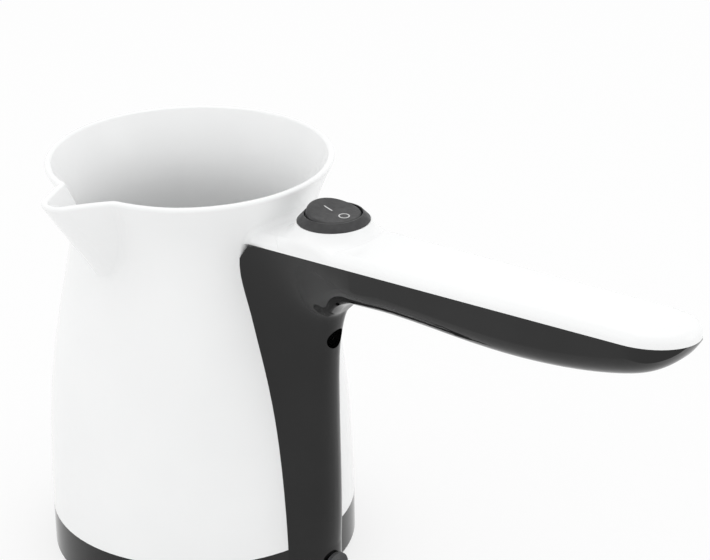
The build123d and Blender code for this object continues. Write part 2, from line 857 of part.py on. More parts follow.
def screw(place, head_radius, head, shank_radius, length):
    """Round-headed screw with a cross socket; the plane lies under the head, pointing to the head."""
    with BuildPart(place) as body:
        Cylinder(head_radius, head, align=(Align.CENTER, Align.CENTER, Align.MIN))
        chamfer(body.edges().group_by(Axis(place.origin, place.z_dir))[-1], head / 4)
        with BuildSketch(place):
            Circle(shank_radius)
        extrude(amount=-length)
        with BuildSketch(place.offset(head)):
            Rectangle(head_radius * screw_socket_length, head_radius * screw_socket_width)
            Rectangle(head_radius * screw_socket_width, head_radius * screw_socket_length)
        extrude(amount=-screw_socket_depth, mode=Mode.SUBTRACT)
    return body.part


def three_screws(height, radius, first, head_radius, head, shank_radius, length):
    """Three screws on a circle, driven upwards, with their heads below the height."""
    with BuildPart() as one:
        add(screw(Plane(origin=(radius, 0, height), z_dir=(0, 0, -1)), head_radius, head, shank_radius, length))
    with BuildPart() as all_three:
        with PolarLocations(0, 3, start_angle=first):
            add(one.part)
    return all_three.part


# ---------------------------------------------------------------- base_screws
# Three long screws through cover and ring lugs into the jug's pillars.
base_screws = three_screws(
    base_head_seat,
    pillar_ring_radius,
    first_pillar,
    base_screw_head_radius,
    base_screw_head,
    base_screw_radius,
    base_screw_top - base_head_seat,
)
base_screws.label = "base_screws"
export_step(base_screws, "parts/base_screws.step")

# ---------------------------------------------------------------- clamp_screws
# Three short screws that pull the clamp ring up against the plate flange.
clamp_screws = three_screws(
    clamp_ring_bottom,
    pillar_ring_radius,
    first_clamp,
    clamp_screw_head_radius,
    clamp_screw_head,
    clamp_screw_radius,
    clamp_screw_top - clamp_ring_bottom,
)
clamp_screws.label = "clamp_screws"
export_step(clamp_screws, "parts/clamp_screws.step")

# ---------------------------------------------------------------- spine_screw
# Screw down in the recess of the spine, into the boss on the jug wall.
spine_screw = screw(
    Plane(origin=(recess_seat_x, 0, spine_screw_height), z_dir=(1, 0, 0)),
    spine_screw_head_radius,
    spine_screw_head,
    spine_screw_radius,
    recess_seat_x - boss_root - spine_screw_stop,
)
spine_screw.label = "spine_screw"
export_step(spine_screw, "parts/spine_screw.step")

# ---------------------------------------------------------------- heating_plate
# Stainless bottom of the jug: raised round plate with a flange all round.
with BuildPart() as heating_plate:
    with BuildSketch(Plane.XZ):
        with BuildLine():
            inner_rise = plate_radius - plate_thickness
            Polyline(
                (0, plate_top),
                (plate_radius, plate_top),
                (plate_radius, plate_flange_bottom + plate_thickness),
                (plate_flange_radius, plate_flange_bottom + plate_thickness),
                (plate_flange_radius, plate_flange_bottom),
                (inner_rise, plate_flange_bottom),
                (inner_rise, plate_top - plate_thickness),
                (0, plate_top - plate_thickness),
                (0, plate_top),
            )
        make_face()
    revolve(axis=Axis.Z)
    fillet(heating_plate.edges().filter_by(GeomType.CIRCLE).group_by(Axis.Z)[-1], plate_edge_rounding)
heating_plate.part.label = "heating_plate"
export_step(heating_plate.part, "parts/heating_plate.step")

# ---------------------------------------------------------------- plate_seal
# Flat silicone ring between the plate flange and the jug's ledge.
with BuildPart() as plate_seal:
    with BuildSketch(Plane.XY.offset(plate_flange_bottom + plate_thickness)):
        Circle(plate_flange_radius)
        Circle(seal_inner_radius, mode=Mode.SUBTRACT)
    extrude(amount=ledge_bottom - plate_flange_bottom - plate_thickness)
plate_seal.part.label = "plate_seal"
export_step(plate_seal.part, "parts/plate_seal.step")

# ---------------------------------------------------------------- heat_spreader
# Aluminium disc brazed under the plate.
with BuildPart() as heat_spreader:
    with BuildSketch(Plane.XY.offset(spreader_bottom)):
        Circle(spreader_radius)
    extrude(amount=plate_top - plate_thickness - spreader_bottom)
heat_spreader.part.label = "heat_spreader"
export_step(heat_spreader.part, "parts/heat_spreader.step")

# ---------------------------------------------------------------- heating_element
# Tubular element bent to an open ring under the spreader.
element_height = spreader_bottom - element_tube_radius
with BuildPart() as heating_element:
    with BuildLine():
        CenterArc((0, 0, element_height), element_ring_radius, element_gap / 2, 360 - element_gap)
    element_end = Vector(
        element_ring_radius * cos(radians(element_gap / 2)),
        element_ring_radius * sin(radians(element_gap / 2)),
        element_height,
    )
    end_way = Vector(sin(radians(element_gap / 2)), -cos(radians(element_gap / 2)), 0)
    with BuildSketch(Plane(origin=element_end, z_dir=end_way)):
        Circle(element_tube_radius)
    sweep()
heating_element.part.label = "heating_element"
export_step(heating_element.part, "parts/heating_element.step")

# ---------------------------------------------------------------- element_pins
# The element's two cold ends, bent down through the shield.
with BuildPart() as element_pins:
    with BuildLine():
        pin_turn = element_end + end_way * pin_run
        FilletPolyline(element_end, pin_turn, (pin_turn.X, pin_turn.Y, pin_bottom), radius=pin_bend)
    with BuildSketch(Plane(origin=element_end, z_dir=end_way)):
        Circle(element_pin_radius)
    sweep()
    mirror(about=Plane.XZ)
element_pins.part.label = "element_pins"
export_step(element_pins.part, "parts/element_pins.step")

# ---------------------------------------------------------------- clamp_ring
# Steel ring with three ears that holds the plate flange up.
with BuildPart() as clamp_ring:
    with BuildSketch(Plane.XY.offset(clamp_ring_bottom)):
        Circle(clamp_ring_outer)
        with around(pillar_ring_radius, first_clamp):
            Circle(clamp_ear_radius)
        with around((pillar_ring_radius + clamp_ring_inner) / 2, first_clamp):
            Rectangle(clamp_ear_radius, 2 * clamp_ear_radius)
        Circle(clamp_ring_inner, mode=Mode.SUBTRACT)
        with around(pillar_ring_radius, first_clamp):
            Circle(clamp_screw_radius + shank_clearance, mode=Mode.SUBTRACT)
    extrude(amount=plate_flange_bottom - clamp_ring_bottom)
clamp_ring.part.label = "clamp_ring"
export_step(clamp_ring.part, "parts/clamp_ring.step")

# ---------------------------------------------------------------- thermostat
# Snap-disc thermostat pressed against the spreader.
with BuildPart() as thermostat:
    with BuildSketch(Plane.XY.offset(thermostat_shoulder)):
        Circle(thermostat_radius)
    extrude(amount=spreader_bottom - thermostat_shoulder)
    with BuildSketch(Plane.XY.offset(thermostat_bottom)):
        Circle(thermostat_base_radius)
    extrude(amount=thermostat_shoulder - thermostat_bottom)
thermostat.part.label = "thermostat"
export_step(thermostat.part, "parts/thermostat.step")

# ---------------------------------------------------------------- thermostat_tabs
# Two push-on blades under the thermostat, each with its round hole.
with BuildPart() as thermostat_tabs:
    with BuildSketch(Plane.XY.offset(tab_bottom)):
        with Locations((-tab_offset, 0), (tab_offset, 0)):
            Rectangle(tab_thickness, tab_width)
    extrude(amount=thermostat_bottom - tab_bottom)
    with BuildSketch(Plane.YZ):
        with Locations((0, tab_bottom + tab_hole_rise)):
            Circle(tab_hole_radius)
    extrude(amount=2 * tab_offset, both=True, mode=Mode.SUBTRACT)
thermostat_tabs.part.label = "thermostat_tabs"
export_step(thermostat_tabs.part, "parts/thermostat_tabs.step")

# ---------------------------------------------------------------- thermostat_bracket
# Bridge under the thermostat's shoulder whose feet are welded to the spreader.
with BuildPart() as thermostat_bracket:
    with BuildSketch(Plane.YZ):
        with BuildLine():
            strap_bottom = thermostat_shoulder - bracket_thickness
            foot_end = bracket_half_span + bracket_foot
            Polyline(
                (-foot_end, spreader_bottom),
                (-bracket_half_span, spreader_bottom),
                (-bracket_half_span, thermostat_shoulder),
                (bracket_half_span, thermostat_shoulder),
                (bracket_half_span, spreader_bottom),
                (foot_end, spreader_bottom),
                (foot_end, spreader_bottom - bracket_thickness),
                (bracket_half_span + bracket_thickness, spreader_bottom - bracket_thickness),
                (bracket_half_span + bracket_thickness, strap_bottom),
                (-bracket_half_span - bracket_thickness, strap_bottom),
                (-bracket_half_span - bracket_thickness, spreader_bottom - bracket_thickness),
                (-foot_end, spreader_bottom - bracket_thickness),
                (-foot_end, spreader_bottom),
            )
        make_face()
    extrude(amount=bracket_width / 2, both=True)
    with BuildSketch(Plane.XY.offset(strap_bottom)):
        Circle(thermostat_radius + bracket_ring)
    extrude(amount=bracket_thickness)
    with BuildSketch(Plane.XY.offset(strap_bottom - overrun)):
        Circle(thermostat_base_radius + bracket_clearance)
    extrude(amount=bracket_thickness + overrun, mode=Mode.SUBTRACT)
thermostat_bracket.part.label = "thermostat_bracket"
export_step(thermostat_bracket.part, "parts/thermostat_bracket.step")

# ---------------------------------------------------------------- thermal_fuse
# One-shot fuse lying under the spreader, with its two leads.
with BuildPart() as thermal_fuse:
    with BuildSketch(Plane(origin=(-fuse_x, 0, spreader_bottom - fuse_radius), z_dir=(0, 1, 0))):
        Circle(fuse_radius)
    extrude(amount=fuse_length / 2, both=True)
    with BuildSketch(Plane(origin=(-fuse_x, 0, spreader_bottom - fuse_radius), z_dir=(0, 1, 0))):
        Circle(fuse_lead_radius)
    extrude(amount=fuse_length, both=True)
thermal_fuse.part.label = "thermal_fuse"
export_step(thermal_fuse.part, "parts/thermal_fuse.step")

# ---------------------------------------------------------------- heat_shield
# Thin dish that keeps the heat off the wiring, hung under the clamp ring.
with BuildPart() as heat_shield:
    with BuildSketch(Plane.XY.offset(shield_bottom)):
        Circle(shield_radius)
    extrude(amount=clamp_ring_bottom - shield_bottom)
    with BuildSketch(Plane.XY.offset(shield_bottom + shield_thickness)):
        Circle(shield_radius - shield_thickness)
    extrude(amount=clamp_ring_bottom, mode=Mode.SUBTRACT)
    with BuildSketch(Plane.XY.offset(shield_bottom - overrun)):
        Circle(shield_hole_radius)
        with Locations((pin_turn.X, pin_turn.Y), (pin_turn.X, -pin_turn.Y)):
            Circle(shield_pin_hole_radius)
    extrude(amount=shield_thickness + 2 * overrun, mode=Mode.SUBTRACT)
heat_shield.part.label = "heat_shield"
export_step(heat_shield.part, "parts/heat_shield.step")

# ---------------------------------------------------------------- terminal_block
# Three-way block on the cover, with bores for the wires and wells for the screws.
block_middle = cover_top + block_height / 2
with BuildPart() as terminal_block:
    with Locations((block_x, 0, block_middle)):
        Box(block_length, block_width, block_height)
    with BuildSketch(Plane(origin=(block_x - block_length, 0, block_middle), x_dir=(0, 1, 0), z_dir=(1, 0, 0))):
        with Locations((-block_pitch, 0), (0, 0), (block_pitch, 0)):
            Circle(wire_bore_radius)
    extrude(amount=2 * block_length, mode=Mode.SUBTRACT)
    with BuildSketch(Plane.XY.offset(cover_top + block_height)):
        with GridLocations(block_length / 2, block_pitch, 2, 3):
            with Locations((block_x, 0)):
                Circle(block_screw_radius + block_screw_clearance)
    extrude(amount=-block_screw_well, mode=Mode.SUBTRACT)
terminal_block.part.label = "terminal_block"
export_step(terminal_block.part, "parts/terminal_block.step")

# ---------------------------------------------------------------- terminal_screws
# Six slotted clamping screws sunk in the block.
with BuildPart() as terminal_screws:
    well_floor = cover_top + block_height - block_screw_well
    with BuildSketch(Plane.XY.offset(well_floor)):
        with GridLocations(block_length / 2, block_pitch, 2, 3):
            with Locations((block_x, 0)):
                Circle(block_screw_radius)
    extrude(amount=block_screw_height)
    with BuildSketch(Plane.XY.offset(well_floor + block_screw_height)):
        with GridLocations(block_length / 2, block_pitch, 2, 3):
            with Locations((block_x, 0)):
                Rectangle(block_slot_length, block_slot_width)
    extrude(amount=-block_slot_depth, mode=Mode.SUBTRACT)
terminal_screws.part.label = "terminal_screws"
export_step(terminal_screws.part, "parts/terminal_screws.step")

# ---------------------------------------------------------------- cord_gland
# Rubber bush in the inlet of the ring's nose, with a lip on either side.
inlet_outer_x = seam_radius + spine_foot_depth
gland_back = inlet_outer_x - shell_wall - gland_inner_reach
with BuildPart() as cord_gland:
    with BuildSketch(Plane(origin=(inlet_outer_x + gland_flange_gap, 0, inlet_height), z_dir=(1, 0, 0))):
        Circle(gland_flange_radius)
    extrude(amount=gland_flange)
    with BuildSketch(Plane(origin=(gland_back, 0, inlet_height), z_dir=(1, 0, 0))):
        Circle(inlet_radius - pilot_clearance)
    extrude(amount=inlet_outer_x + gland_flange - gland_back)
    with BuildSketch(Plane(origin=(gland_back, 0, inlet_height), z_dir=(1, 0, 0))):
        Circle(gland_bore_radius)
    extrude(amount=armpit_x - gland_back, mode=Mode.SUBTRACT)
cord_gland.part.label = "cord_gland"
export_step(cord_gland.part, "parts/cord_gland.step")

# ---------------------------------------------------------------- switch_housing
# Round insert: conical bezel, barrel with floor, two snap legs, pivot pockets
# and slots for the two blades.
pivot = switch_plane.from_local_coords(Vector(0, 0, pivot_rise))
with BuildPart() as switch_housing:
    with BuildSketch(switch_upright):
        with BuildLine():
            Polyline(
                (barrel_bore_radius, bezel_height),
                (barrel_bore_radius + bezel_lip, bezel_height),
                (bezel_radius, bezel_rim),
                (bezel_radius, 0),
                (barrel_radius, 0),
                (barrel_radius, -barrel_depth),
                (0, -barrel_depth),
                (0, -barrel_depth + barrel_floor),
                (barrel_bore_radius, -barrel_depth + barrel_floor),
                (barrel_bore_radius, bezel_height),
            )
        make_face()
    revolve(axis=Axis(switch_plane.origin, switch_plane.z_dir))
    with BuildSketch(Plane(origin=switch_plane.origin, x_dir=(0, 1, 0), z_dir=switch_plane.x_dir)):
        with BuildLine():
            Polyline(
                (barrel_radius - snap_root, -snap_top),
                (barrel_radius, -snap_top),
                (snap_reach, -snap_top - snap_ramp),
                (barrel_radius, -snap_bottom),
                (barrel_radius - snap_root, -snap_bottom),
                (barrel_radius - snap_root, -snap_top),
            )
        make_face()
    extrude(amount=snap_width / 2, both=True)
    mirror(about=Plane.XZ)
    with BuildSketch(Plane(origin=pivot, x_dir=switch_plane.x_dir, z_dir=(0, 1, 0))):
        Circle(trunnion_radius + running_gap)
    extrude(amount=trunnion_pocket, both=True, mode=Mode.SUBTRACT)
    with BuildSketch(Plane.XY.offset(centre_blade_bottom)):
        with Locations((switch_x, 0)):
            Rectangle(blade_thickness + blade_clearance, blade_width + blade_clearance)
        with Locations((load_blade_x, 0)):
            Rectangle(blade_thickness + blade_clearance, blade_width + blade_clearance)
    extrude(amount=centre_blade_length + ear_base, mode=Mode.SUBTRACT)
switch_housing.part.label = "switch_housing"
export_step(switch_housing.part, "parts/switch_housing.step")


def leaning_plane(origin, angle):
    """Plane whose z axis leans from upright by the angle towards the end of the grip."""
    lean = radians(angle)
    return Plane(origin=origin, x_dir=(cos(lean), 0, -sin(lean)), z_dir=(sin(lean), 0, cos(lean)))


def ball(radius):
    """Ball about the rocker's pivot."""
    with BuildPart(Plane(origin=pivot)) as round_body:
        Sphere(radius)
    return round_body.part


def dished_slab(drop, bottom):
    """Slab under the rocker's dished top, whose high side is the I side."""
    with BuildPart() as slab:
        with BuildSketch(Plane(origin=(switch_x, rocker_slab, switch_height), x_dir=(1, 0, 0), z_dir=(0, -1, 0))):
            with BuildLine():
                top = Spline(
                    (-rocker_slab, rocker_high - drop),
                    (-rocker_middle_x, rocker_high_middle - drop),
                    (0, rocker_centre - drop),
                    (rocker_middle_x, rocker_low_middle - drop),
                    (rocker_slab, rocker_low - drop),
                )
                Polyline(top @ 1, (rocker_slab, bottom), (-rocker_slab, bottom), top @ 0)
            make_face()
        extrude(amount=2 * rocker_slab)
    return slab.part


# ---------------------------------------------------------------- rocker
# Button with a dished top, ball-shaped sides about its pivot, two trunnions and
# the tube of the plunger; it leans towards O at rest.
skirt_bottom = pivot_rise - rocker_skirt
rocker_plane = leaning_plane(pivot, rocker_lean)
with BuildPart() as rocker_hollow:
    add(dished_slab(rocker_skin, skirt_bottom - overrun))
    add(ball(rocker_radius - rocker_skin), mode=Mode.INTERSECT)

with BuildPart() as rocker_tube:
    with BuildSketch(rocker_plane):
        Circle(tube_radius)
    extrude(amount=-tube_reach)
    extrude(rocker_tube.faces().sort_by(Axis.Z)[-1], amount=tube_top)

with BuildPart() as rocker:
    add(dished_slab(0, skirt_bottom))
    add(ball(rocker_radius), mode=Mode.INTERSECT)
    fillet(rocker.edges().sort_by(Axis.Z)[-1], rocker_rounding)
    add(rocker_hollow.part, mode=Mode.SUBTRACT)
    add(rocker_tube.part)
    with BuildSketch(rocker_plane):
        Circle(tube_bore_radius)
    extrude(amount=-2 * tube_reach, mode=Mode.SUBTRACT)
    with BuildSketch(Plane(origin=pivot + (0, rocker_radius - overrun, 0), x_dir=(1, 0, 0), z_dir=(0, 1, 0))):
        Circle(trunnion_radius)
    extrude(amount=trunnion_reach - rocker_radius + overrun)
    with BuildSketch(Plane(origin=pivot - (0, rocker_radius - overrun, 0), x_dir=(1, 0, 0), z_dir=(0, -1, 0))):
        Circle(trunnion_radius)
    extrude(amount=trunnion_reach - rocker_radius + overrun)
rocker.part.label = "rocker"
export_step(rocker.part, "parts/rocker.step")

# ---------------------------------------------------------------- switch_plunger
# Round-ended pin that slides in the rocker's tube and wipes the lever.
with BuildPart() as switch_plunger:
    with BuildSketch(rocker_plane.offset(-plunger_reach)):
        Circle(plunger_radius)
    extrude(amount=plunger_length)
    fillet(switch_plunger.edges().sort_by(Axis.Z)[0], plunger_rounding)
switch_plunger.part.label = "switch_plunger"
export_step(switch_plunger.part, "parts/switch_plunger.step")

# ---------------------------------------------------------------- switch_spring
# Small coil spring between the plunger and the rocker.
spring_length = plunger_top_drop - 2 * spring_wire_radius - 2 * spring_end_gap
spring_foot = rocker_plane.offset(spring_wire_radius + spring_end_gap - plunger_top_drop)
with BuildPart() as switch_spring:
    with BuildLine():
        coil = Helix(
            spring_length / spring_turns,
            spring_length,
            spring_coil_radius,
            center=spring_foot.origin,
            direction=spring_foot.z_dir,
        )
    with BuildSketch(Plane(origin=coil @ 0, z_dir=coil % 0)):
        Circle(spring_wire_radius)
    sweep(is_frenet=True)
switch_spring.part.label = "switch_spring"
export_step(switch_spring.part, "parts/switch_spring.step")

# ---------------------------------------------------------------- centre_terminal
# Fixed blade with two ears and the pin on which the contact lever rocks.
lever_pivot = Vector(switch_x, 0, lever_pivot_height)
ear_inner = lever_width / 2 + ear_gap
with BuildPart() as centre_terminal:
    with BuildSketch(Plane.XY.offset(centre_blade_bottom)):
        with Locations((switch_x, 0)):
            Rectangle(blade_thickness, blade_width)
    extrude(amount=floor_top - centre_blade_bottom)
    with BuildSketch(Plane.XY.offset(floor_top)):
        with Locations((switch_x, 0)):
            Rectangle(ear_width, 2 * (ear_inner + ear_thickness))
    extrude(amount=ear_base)
    with BuildSketch(Plane.XY.offset(floor_top)):
        with Locations((switch_x, ear_inner + ear_thickness / 2), (switch_x, -ear_inner - ear_thickness / 2)):
            Rectangle(ear_width, ear_thickness)
    extrude(amount=lever_pivot_height + ear_rise - floor_top)
    with BuildSketch(Plane(origin=lever_pivot, x_dir=(1, 0, 0), z_dir=(0, 1, 0))):
        Circle(lever_pin_radius)
    extrude(amount=ear_inner + lever_pin_bite, both=True)
    with BuildSketch(Plane.YZ.offset(switch_x)):
        with Locations((0, centre_blade_bottom + blade_hole_rise)):
            Circle(blade_hole_radius)
    extrude(amount=blade_thickness, both=True, mode=Mode.SUBTRACT)
centre_terminal.part.label = "centre_terminal"
export_step(centre_terminal.part, "parts/centre_terminal.step")

# ---------------------------------------------------------------- load_terminal
# Fixed blade whose bent tab carries the lower contact button.
with BuildPart() as load_terminal:
    with BuildSketch(Plane.XY.offset(load_blade_bottom)):
        with Locations((load_blade_x, 0)):
            Rectangle(blade_thickness, blade_width)
    extrude(amount=floor_top - load_blade_bottom)
    with BuildSketch(Plane.XY.offset(floor_top)):
        with Locations((load_blade_x, 0)):
            Rectangle(load_tab_length, blade_width)
    extrude(amount=load_tab_thickness)
    with BuildSketch(Plane.XY.offset(floor_top)):
        with Locations((load_blade_x, 0)):
            Circle(contact_radius)
    extrude(amount=load_button_height)
    with BuildSketch(Plane.YZ.offset(load_blade_x)):
        with Locations((0, load_blade_bottom + blade_hole_rise)):
            Circle(blade_hole_radius)
    extrude(amount=blade_thickness, both=True, mode=Mode.SUBTRACT)
load_terminal.part.label = "load_terminal"
export_step(load_terminal.part, "parts/load_terminal.step")

# ---------------------------------------------------------------- contact_lever
# See-saw strip with a knuckle round the pin and a contact button under one arm.
lever_plane = leaning_plane(lever_pivot, -lever_lean)
with BuildPart() as contact_lever:
    with BuildSketch(lever_plane.offset(-lever_thickness / 2)):
        Rectangle(2 * lever_arm, lever_width)
    extrude(amount=lever_thickness)
    with BuildSketch(Plane(origin=lever_pivot, x_dir=(1, 0, 0), z_dir=(0, 1, 0))):
        Circle(knuckle_radius)
    extrude(amount=lever_width / 2, both=True)
    with BuildSketch(lever_plane.offset(-lever_thickness / 2)):
        with Locations((contact_reach, 0)):
            Circle(contact_radius)
    extrude(amount=-contact_height)
    with BuildSketch(Plane(origin=lever_pivot, x_dir=(1, 0, 0), z_dir=(0, 1, 0))):
        Circle(lever_pin_radius + running_gap)
    extrude(amount=lever_width, both=True, mode=Mode.SUBTRACT)
contact_lever.part.label = "contact_lever"
export_step(contact_lever.part, "parts/contact_lever.step")


def wire(points):
    """Round insulated wire along a smooth curve through the points."""
    with BuildPart() as run:
        with BuildLine():
            way = Spline(*points)
        with BuildSketch(Plane(origin=way @ 0, z_dir=way % 0)):
            Circle(wire_radius)
        sweep()
    return run.part


block_back = block_x + block_length / 2
block_front = block_x - block_length / 2
pin_x = pin_turn.X
pin_y = pin_turn.Y


def spine_way(side):
    """First points of a wire from the block up the spine, on one side of its middle."""
    return [
        (block_back, side * block_pitch, block_middle),
        (block_back + 4, side * (block_pitch - 1), block_middle + 0.2),
        (seam_radius + 2.0, side * 4.6, seam_height - 2.8),
        (seam_radius + 3.1, side * 4.2, seam_height + 7.2),
        (seam_radius + 2.8, side * 4.0, spine_level(spine_low_share)),
        (seam_radius + 0.2, side * 4.4, armpit_height - 21.0),
        (seam_radius - 1.6, side * 5.2, armpit_height - 5.0),
    ]


# ---------------------------------------------------------------- live_wire
# From the block up the spine to the switch's centre blade.
live_wire = wire(
    spine_way(-1)
    + [
        (seam_radius + 0.6, -4.0, armpit_height + 5.0),
        (switch_x - 4.0, -1.5, armpit_height + 8.5),
        (switch_x, 0, centre_blade_bottom - 0.5),
    ]
)
live_wire.label = "live_wire"
export_step(live_wire, "parts/live_wire.step")

# ---------------------------------------------------------------- switched_wire
# From the switch's load blade down the spine to the block.
switched_wire = wire(
    spine_way(1)
    + [
        (seam_radius - 0.4, 4.6, armpit_height + 5.0),
        (switch_x - 6.5, 4.8, armpit_height + 11.5),
        (switch_x - 1.0, 5.6, load_blade_bottom - 0.2),
        (load_blade_x - 1.5, 5.6, load_blade_bottom + 1.3),
        (load_blade_x, blade_width / 2 + 0.2, load_blade_bottom + 1.5),
    ]
)
switched_wire.label = "switched_wire"
export_step(switched_wire, "parts/switched_wire.step")

# ---------------------------------------------------------------- neutral_wire
# From the block to one cold end of the element.
neutral_wire = wire(
    [
        (block_front, -block_pitch, block_middle),
        (block_front - 3.0, -block_pitch, block_middle - 0.6),
        (pin_x - 1.5, -pin_y + 1.5, block_middle - 0.6),
        (pin_x, -pin_y, pin_bottom - 0.6),
    ]
)
neutral_wire.label = "neutral_wire"
export_step(neutral_wire, "parts/neutral_wire.step")

# ---------------------------------------------------------------- link_wire
# From the other cold end of the element to a blade of the thermostat.
link_wire = wire(
    [
        (pin_x, pin_y, pin_bottom - 0.6),
        (pin_x - 2.5, pin_y - 1, block_middle),
        (14.0, 5.0, block_middle),
        (tab_offset + tab_thickness / 2 + 0.5, 0, tab_bottom + 1.8),
    ]
)
link_wire.label = "link_wire"
export_step(link_wire, "parts/link_wire.step")

# ---------------------------------------------------------------- earth_wire
# From the middle way of the block to the underside of the heat shield.
earth_wire = wire(
    [
        (block_front, 0, block_middle),
        (block_front - 5, -1, block_middle + 0.2),
        (18.0, -3, 11.5),
        (17.5, -4, shield_bottom - 0.3),
    ]
)
earth_wire.label = "earth_wire"
export_step(earth_wire, "parts/earth_wire.step")
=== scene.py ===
import math

import bpy
from mathutils import Matrix, Vector


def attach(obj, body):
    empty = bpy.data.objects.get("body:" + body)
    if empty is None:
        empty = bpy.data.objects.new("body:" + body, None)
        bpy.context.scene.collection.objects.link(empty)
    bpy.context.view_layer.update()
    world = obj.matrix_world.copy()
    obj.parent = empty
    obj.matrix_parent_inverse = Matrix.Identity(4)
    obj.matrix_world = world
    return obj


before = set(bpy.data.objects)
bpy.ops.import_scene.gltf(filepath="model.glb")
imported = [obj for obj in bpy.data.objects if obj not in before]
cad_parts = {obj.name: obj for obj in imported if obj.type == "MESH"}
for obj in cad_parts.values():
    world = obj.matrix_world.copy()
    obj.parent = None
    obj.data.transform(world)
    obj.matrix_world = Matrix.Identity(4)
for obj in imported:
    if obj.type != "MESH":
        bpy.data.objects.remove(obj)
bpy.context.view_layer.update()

# ---------------------------------------------------------------- finishes in general
# Every finish is one shader whose colour and roughness drift a little from
# place to place, between the two values of noise given here.
drift_from = 0.35
drift_to = 0.65
grain_detail = 3.0


def new_finish(name):
    """Material with a Principled shader."""
    finish = bpy.data.materials.new(name)
    finish.use_nodes = True
    return finish


def shader_inputs(finish):
    """Inputs of the finish's shader."""
    return finish.node_tree.nodes["Principled BSDF"].inputs


def object_noise(finish, scale, detail):
    """Output of a noise in object space."""
    nodes = finish.node_tree.nodes
    place = nodes.new("ShaderNodeTexCoord")
    noise = nodes.new("ShaderNodeTexNoise")
    noise.inputs["Scale"].default_value = scale
    noise.inputs["Detail"].default_value = detail
    finish.node_tree.links.new(place.outputs["Object"], noise.inputs["Vector"])
    return noise.outputs["Fac"]


def drifting_color(finish, scale, detail, low, high):
    """Base colour that drifts between low and high."""
    links = finish.node_tree.links
    ramp = finish.node_tree.nodes.new("ShaderNodeValToRGB")
    ramp.color_ramp.elements[0].position = drift_from
    ramp.color_ramp.elements[1].position = drift_to
    ramp.color_ramp.elements[0].color = (*low, 1)
    ramp.color_ramp.elements[1].color = (*high, 1)
    links.new(object_noise(finish, scale, detail), ramp.inputs["Fac"])
    links.new(ramp.outputs["Color"], shader_inputs(finish)["Base Color"])


def drifting_roughness(finish, scale, detail, low, high):
    """Roughness that drifts between low and high."""
    links = finish.node_tree.links
    spread = finish.node_tree.nodes.new("ShaderNodeMapRange")
    spread.inputs["From Min"].default_value = drift_from
    spread.inputs["From Max"].default_value = drift_to
    spread.inputs["To Min"].default_value = low
    spread.inputs["To Max"].default_value = high
    links.new(object_noise(finish, scale, detail), spread.inputs["Value"])
    links.new(spread.outputs["Result"], shader_inputs(finish)["Roughness"])


def grain(finish, scale, strength, depth):
    """Fine raised grain of a moulded surface."""
    links = finish.node_tree.links
    bump = finish.node_tree.nodes.new("ShaderNodeBump")
    bump.inputs["Strength"].default_value = strength
    bump.inputs["Distance"].default_value = depth
    links.new(object_noise(finish, scale, grain_detail), bump.inputs["Height"])
    links.new(bump.outputs["Normal"], shader_inputs(finish)["Normal"])


def dress(names, finish):
    """Gives CAD nodes their finish."""
    for name in names:
        data = bpy.data.objects[name].data
        data.materials.clear()
        data.materials.append(finish)


# ---------------------------------------------------------------- white moulding
# Jug, spout and cap of the grip: one glossy injection moulding of white
# polypropylene, with a faint unevenness left by the mould.
white_moulding = new_finish("white_moulding")
shader_inputs(white_moulding)["IOR"].default_value = 1.49
drifting_color(white_moulding, 22.0, 2.0, (0.875, 0.88, 0.88), (0.895, 0.9, 0.9))
drifting_roughness(white_moulding, 60.0, 3.0, 0.16, 0.24)
dress(["pot_body"], white_moulding)

# ---------------------------------------------------------------- black mouldings
# Spine and underside of the grip, base ring and underside cover: high-gloss
# black plastic.
black_gloss = new_finish("black_gloss")
shader_inputs(black_gloss)["IOR"].default_value = 1.42
drifting_color(black_gloss, 40.0, 2.0, (0.002, 0.002, 0.002), (0.004, 0.004, 0.004))
drifting_roughness(black_gloss, 90.0, 3.0, 0.05, 0.10)
dress(["handle_shell", "base_ring", "base_cover"], black_gloss)

# ---------------------------------------------------------------- switch
# Round rocker insert of satin black plastic with a fine spark-eroded grain.
switch_satin = new_finish("switch_satin")
shader_inputs(switch_satin)["IOR"].default_value = 1.5
drifting_color(switch_satin, 300.0, 2.0, (0.020, 0.020, 0.021), (0.032, 0.032, 0.033))
drifting_roughness(switch_satin, 500.0, 2.0, 0.42, 0.55)
grain(switch_satin, 5200.0, 0.5, 0.00004)
dress(["switch_housing", "rocker"], switch_satin)

# ---------------------------------------------------------------- ink of the switch marks
# Light grey ink, printed a hair above the dished top of the rocker. A mark
# starts flat above the rocker and is laid down on it.
mark_start = 0.145
ink_gap = 0.00001
ink_thickness = 0.00003

mark_ink = new_finish("mark_ink")
drifting_color(mark_ink, 900.0, 2.0, (0.52, 0.52, 0.52), (0.6, 0.6, 0.6))
drifting_roughness(mark_ink, 700.0, 2.0, 0.45, 0.55)


def print_on_rocker(mark):
    """Lays a flat mark on the rocker's top, thickens it and lets it ride with the rocker."""
    bpy.ops.object.transform_apply(location=True, rotation=False, scale=False)
    wrap = mark.modifiers.new("lay", "SHRINKWRAP")
    wrap.target = bpy.data.objects["rocker"]
    wrap.wrap_method = "PROJECT"
    wrap.use_project_z = True
    wrap.use_negative_direction = True
    wrap.use_positive_direction = False
    wrap.offset = ink_gap
    thick = mark.modifiers.new("ink", "SOLIDIFY")
    thick.thickness = ink_thickness
    thick.offset = 1.0
    bpy.ops.object.modifier_apply(modifier="lay")
    bpy.ops.object.modifier_apply(modifier="ink")
    mark.data.materials.append(mark_ink)
    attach(mark, "rocker")


# ---------------------------------------------------------------- mark_on
# The I: a short bar that lies near the raised end of the rocker, next to the
# jug, and points along the grip.
bar_place = 0.0603
bar_length = 0.0033
bar_width = 0.00048

